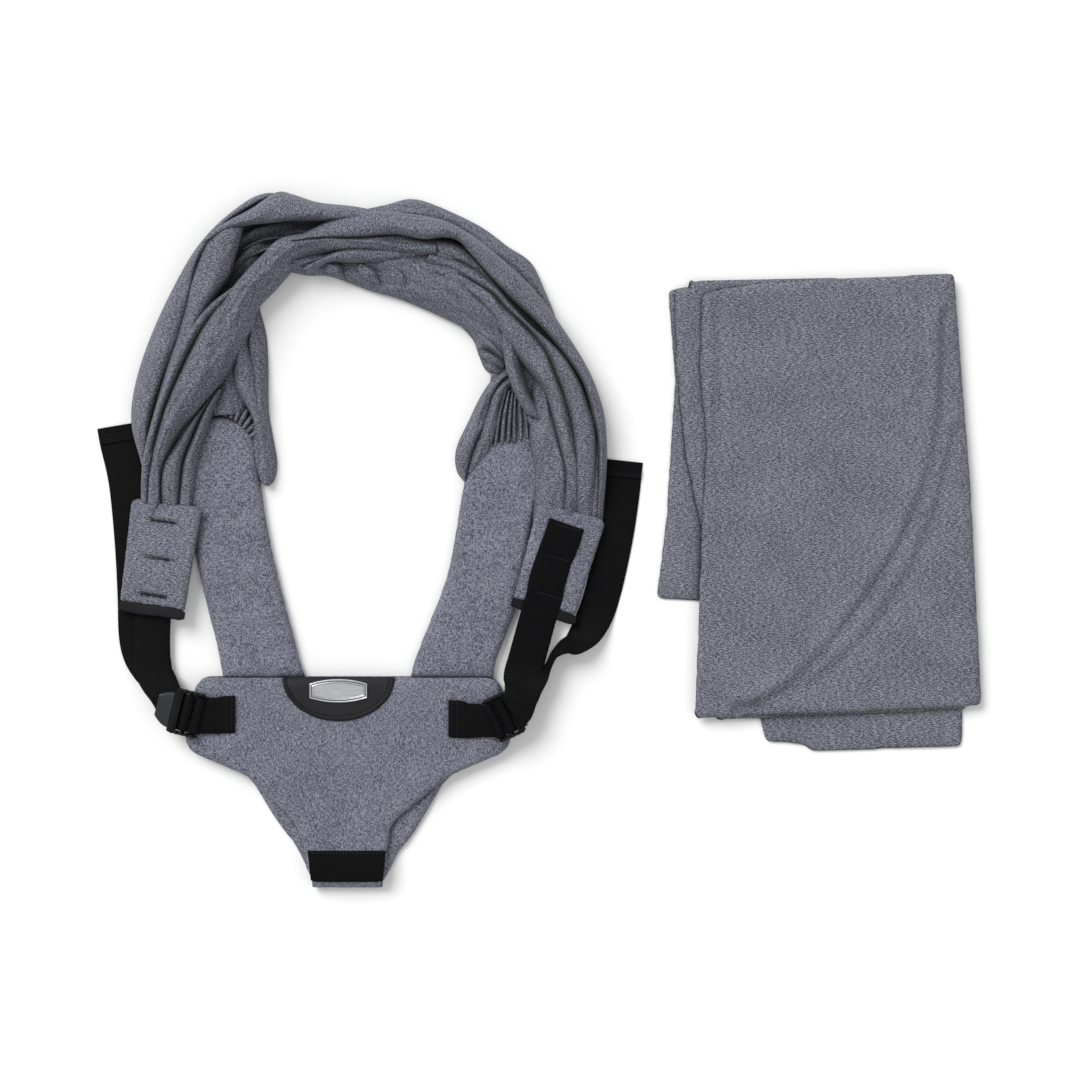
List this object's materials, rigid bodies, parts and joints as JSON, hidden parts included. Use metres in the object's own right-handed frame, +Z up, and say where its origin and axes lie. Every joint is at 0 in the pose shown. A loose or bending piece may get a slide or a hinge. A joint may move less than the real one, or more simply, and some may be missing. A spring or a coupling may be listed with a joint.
{
  "type": "baby wrap sling",
  "caption": "Buckled baby wrap sling laid flat: padded pouch, padded shoulder straps, crossed jersey bands on ladder-lock webbing, and a folded support sash.",
  "frame": {"origin": "on the flat rest face under the back panel, in the middle of its width, level with the narrowing of the leg openings", "axes": "+Z up off the surface the sling lies on; +Y from the crotch fold towards the shoulder loop; +X towards the folded sash"},
  "size_m": [0.9106, 0.7036, 0.0418],
  "materials": {
    "woven_fabric": "melange grey-blue plain weave, matte",
    "jersey": "heather grey stretch jersey, matte",
    "foam": "soft foam sheet inside the covers",
    "webbing": "black ribbed webbing with a slight sheen",
    "binding": "near-black woven binding tape",
    "label_fabric": "smooth dark label fabric",
    "label_piping": "dark bias binding",
    "thread": "dark sewing thread",
    "buckle_plastic": "satin black moulded plastic",
    "badge_metal": "satin silver metal with a raised rim"
  },
  "bodies": {
    "back_panel": {"back_panel_face": "woven_fabric", "back_panel_foam": "foam", "back_panel_lining": "woven_fabric", "crotch_fold": "woven_fabric", "left_strap_bend": "webbing", "right_strap_bend": "webbing"},
    "front_panel": {"front_panel_face": "woven_fabric", "front_panel_foam": "foam", "front_panel_lining": "woven_fabric", "crotch_webbing": "webbing", "label_patch": "label_fabric", "label_piping": "label_piping", "label_badge": "badge_metal", "left_buckle_loop": "webbing", "right_buckle_loop": "webbing", "loop_bar_tacks": "thread"},
    "left_buckle": {"left_buckle": "buckle_plastic", "left_strap_bight": "webbing"},
    "right_buckle": {"right_buckle": "buckle_plastic", "right_strap_bight": "webbing"},
    "shoulder_loop": {"left_shoulder_face": "woven_fabric", "left_shoulder_foam": "foam", "left_shoulder_lining": "woven_fabric", "right_shoulder_face": "woven_fabric", "right_shoulder_foam": "foam", "right_shoulder_lining": "woven_fabric", "left_jersey_band": "jersey", "right_jersey_band": "jersey"},
    "left_tab": {"left_tab_face": "jersey", "left_tab_foam": "foam", "left_tab_lining": "woven_fabric", "left_tab_binding": "binding", "left_tab_bar_tacks": "thread", "left_strap_run": "webbing"},
    "right_tab": {"right_tab_face": "woven_fabric", "right_tab_foam": "foam", "right_tab_lining": "jersey", "right_tab_binding": "binding", "right_tab_bar_tacks": "thread", "right_strap_run": "webbing"},
    "left_tail": {"left_strap_tail": "webbing"},
    "right_tail": {"right_strap_tail": "webbing"},
    "sash": {"support_sash": "jersey"}
  },
  "joints": [
    {"name": "panel_open", "type": "hinge", "parent": "back_panel", "child": "front_panel", "pos_m": [0, -0.1065, 0.017], "axis": [1, 0, 0], "range_deg": [0, 20]},
    {"name": "loop_lift", "type": "hinge", "parent": "back_panel", "child": "shoulder_loop", "pos_m": [0, 0.108, 0.009], "axis": [1, 0, 0], "range_deg": [0, 25]},
    {"name": "left_buckle_lift", "type": "hinge", "parent": "front_panel", "child": "left_buckle", "pos_m": [-0.152, 0.066, 0.022], "axis": [0.2419, 0.9703, 0], "range_deg": [0, 45]},
    {"name": "right_buckle_lift", "type": "hinge", "parent": "front_panel", "child": "right_buckle", "pos_m": [0.151, 0.061, 0.022], "axis": [0.4226, -0.9063, 0], "range_deg": [0, 45]},
    {"name": "left_tab_tighten", "type": "slide", "parent": "shoulder_loop", "child": "left_tab", "axis": [-0.1392, -0.9903, 0], "range_m": [0, 0.022]},
    {"name": "right_tab_tighten", "type": "slide", "parent": "shoulder_loop", "child": "right_tab", "axis": [-0.2756, -0.9613, 0], "range_m": [0, 0.022]},
    {"name": "left_tail_feed", "type": "slide", "parent": "back_panel", "child": "left_tail", "axis": [-0.1564, 0.9877, 0], "range_m": [0, 0.022]},
    {"name": "right_tail_feed", "type": "slide", "parent": "back_panel", "child": "right_tail", "axis": [0.2756, 0.9613, 0], "range_m": [0, 0.022]},
    {"name": "sash_lift", "type": "slide", "parent": "back_panel", "child": "sash", "axis": [0, 0, 1], "range_m": [0, 0.08]}
  ],
  "couplings": [
    {"joint": "left_tail_feed", "follows": "left_tab_tighten", "ratio": 1},
    {"joint": "right_tail_feed", "follows": "right_tab_tighten", "ratio": 1}
  ]
}
